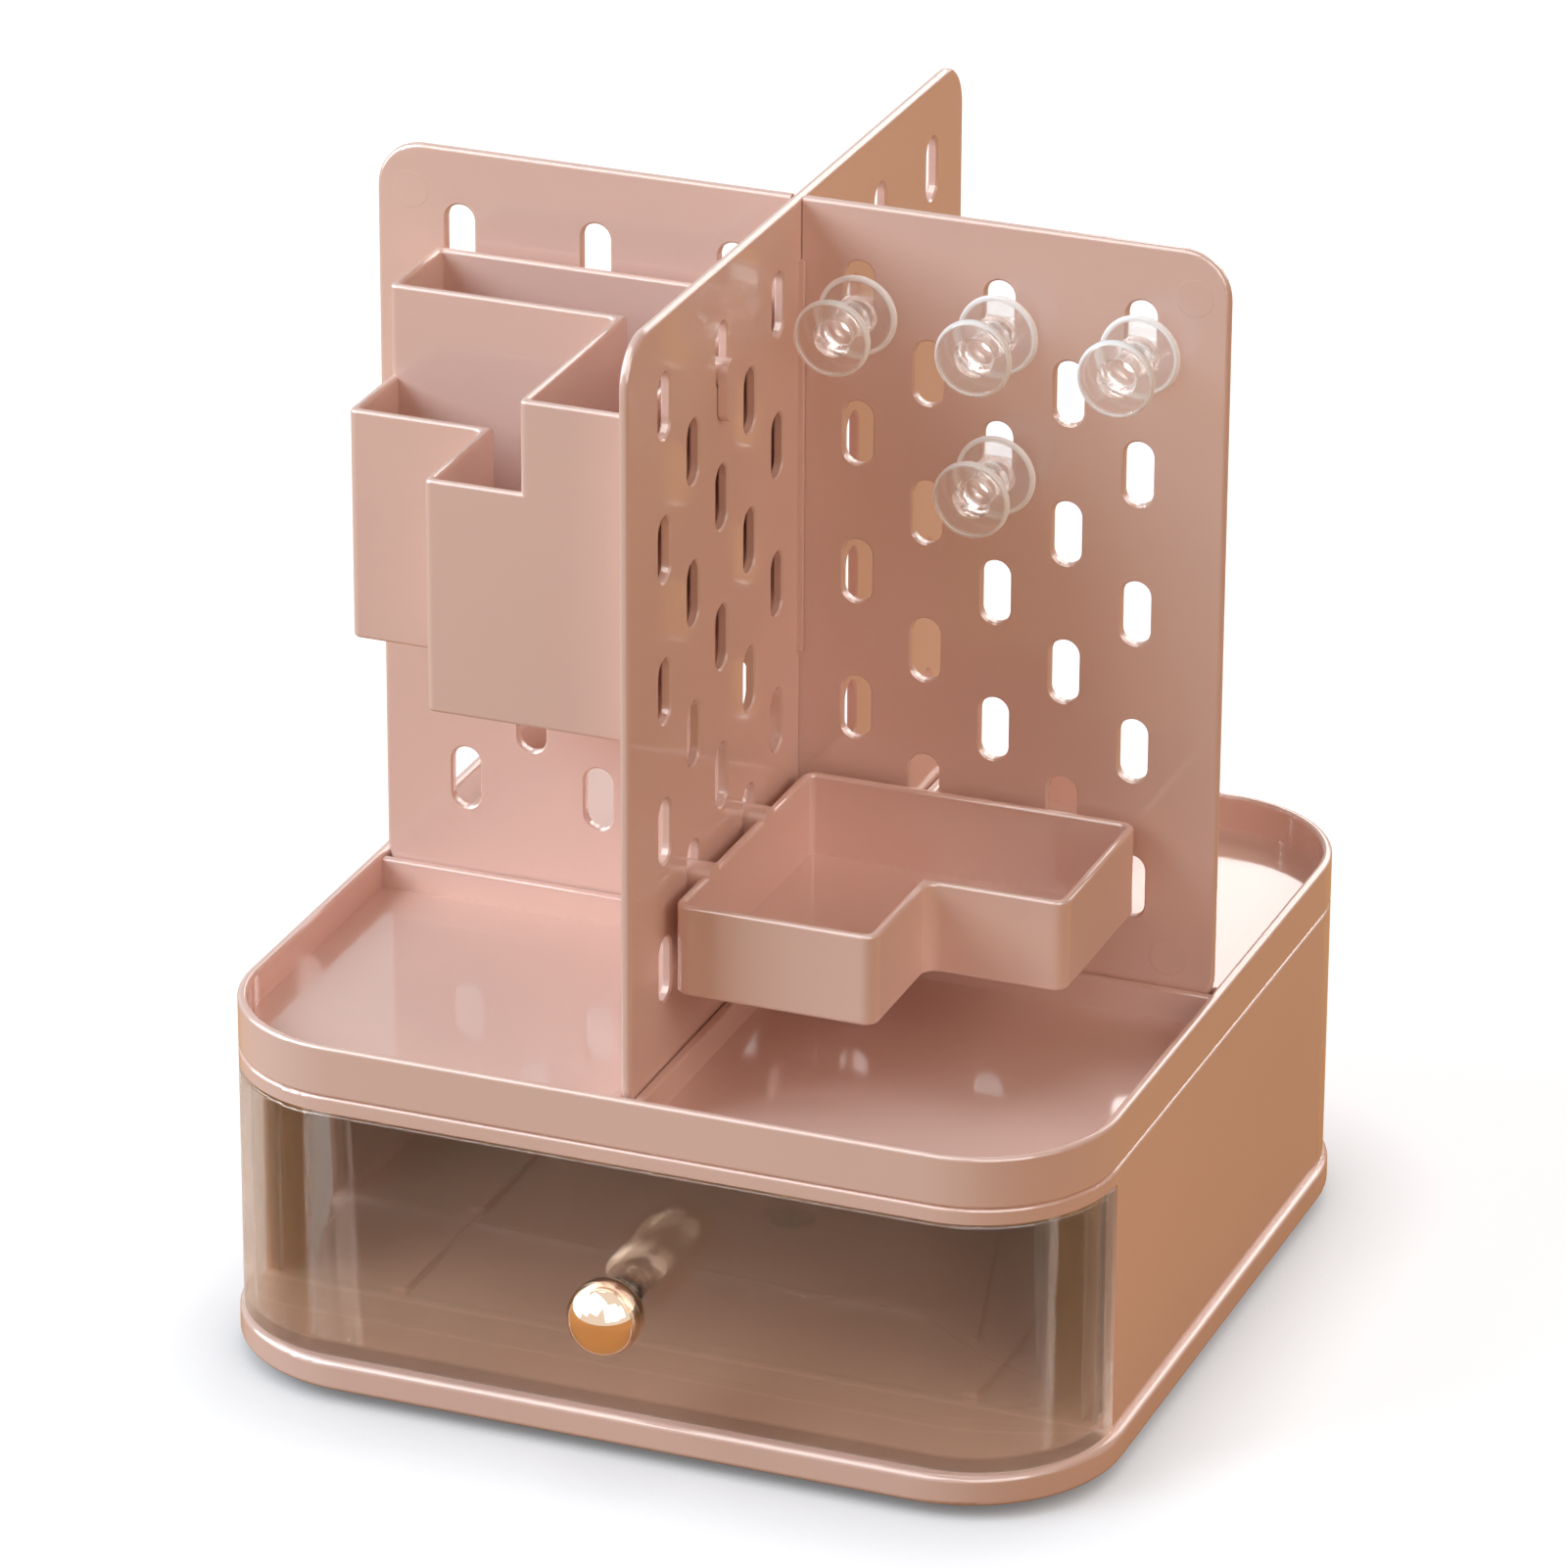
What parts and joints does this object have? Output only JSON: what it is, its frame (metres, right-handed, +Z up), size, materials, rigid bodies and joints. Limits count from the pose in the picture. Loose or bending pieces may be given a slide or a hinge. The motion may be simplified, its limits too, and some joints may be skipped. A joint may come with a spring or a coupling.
{
  "type": "rotating desk organizer",
  "caption": "Square desk organizer that turns on a ball-bearing foot: clear drawer under a rimmed tray, crossed slotted boards above with a hung pen box, corner tray and twist hooks.",
  "frame": {"origin": "on the desk, on the axis that the cabinet turns about", "axes": "+Z up, -Y towards the drawer front, +X to the right seen from the drawer side"},
  "size_m": [0.183, 0.1971, 0.228],
  "materials": {
    "pink_plastic": "glossy moulded plastic",
    "clear_plastic": "clear polished plastic",
    "rose_gold": "polished rose-gold plating",
    "steel": "bright zinc-plated steel",
    "rubber_pad": "matte rubber",
    "foot_plastic": "fine matte plastic",
    "cage_plastic": "natural nylon"
  },
  "bodies": {
    "foot": {"anti_slip_pad": "rubber_pad", "turntable_foot": "foot_plastic", "pivot_screw": "steel", "pivot_washer": "steel"},
    "ball_ring": {"ball_cage": "cage_plastic", "bearing_balls": "steel"},
    "cabinet": {"base_pan": "pink_plastic", "cabinet_shell": "pink_plastic", "shell_screws": "steel", "top_tray": "pink_plastic", "tray_screws": "steel", "pegboard_long": "pink_plastic", "pegboard_cross": "pink_plastic"},
    "drawer": {"drawer_tub": "clear_plastic", "drawer_knob": "rose_gold", "knob_screw": "steel"},
    "pen_box": {"corner_pen_box": "pink_plastic"},
    "side_tray": {"corner_tray": "pink_plastic"},
    "hook_1": {"peg_hook_1": "clear_plastic"},
    "hook_2": {"peg_hook_2": "clear_plastic"},
    "hook_3": {"peg_hook_3": "clear_plastic"},
    "hook_4": {"peg_hook_4": "clear_plastic"}
  },
  "joints": [
    {"name": "turntable_spin", "type": "hinge", "parent": "foot", "child": "cabinet", "pos_m": [0, 0, 0.0052], "axis": [0, 0, 1], "continuous": true},
    {"name": "cage_spin", "type": "hinge", "parent": "foot", "child": "ball_ring", "pos_m": [0, 0, 0.0052], "axis": [0, 0, 1], "continuous": true},
    {"name": "drawer_slide", "type": "slide", "parent": "cabinet", "child": "drawer", "axis": [0, -1, 0], "range_m": [0, 0.125]},
    {"name": "pen_box_lift", "type": "slide", "parent": "cabinet", "child": "pen_box", "axis": [0, 0, 1], "range_m": [0, 0.0065]},
    {"name": "corner_tray_lift", "type": "slide", "parent": "cabinet", "child": "side_tray", "axis": [0, 0, 1], "range_m": [0, 0.0035]},
    {"name": "hook_twist_1", "type": "hinge", "parent": "cabinet", "child": "hook_1", "pos_m": [0.013, 0, 0.2059], "axis": [0, 1, 0], "range_deg": [0, 90]},
    {"name": "hook_twist_2", "type": "hinge", "parent": "cabinet", "child": "hook_2", "pos_m": [0.0416, 0, 0.2059], "axis": [0, 1, 0], "range_deg": [0, 90]},
    {"name": "hook_twist_3", "type": "hinge", "parent": "cabinet", "child": "hook_3", "pos_m": [0.0702, 0, 0.2059], "axis": [0, 1, 0], "range_deg": [0, 90]},
    {"name": "hook_twist_4", "type": "hinge", "parent": "cabinet", "child": "hook_4", "pos_m": [0.0416, 0, 0.1772], "axis": [0, 1, 0], "range_deg": [0, 90]}
  ],
  "couplings": [
    {"joint": "cage_spin", "follows": "turntable_spin", "ratio": 0.5}
  ]
}
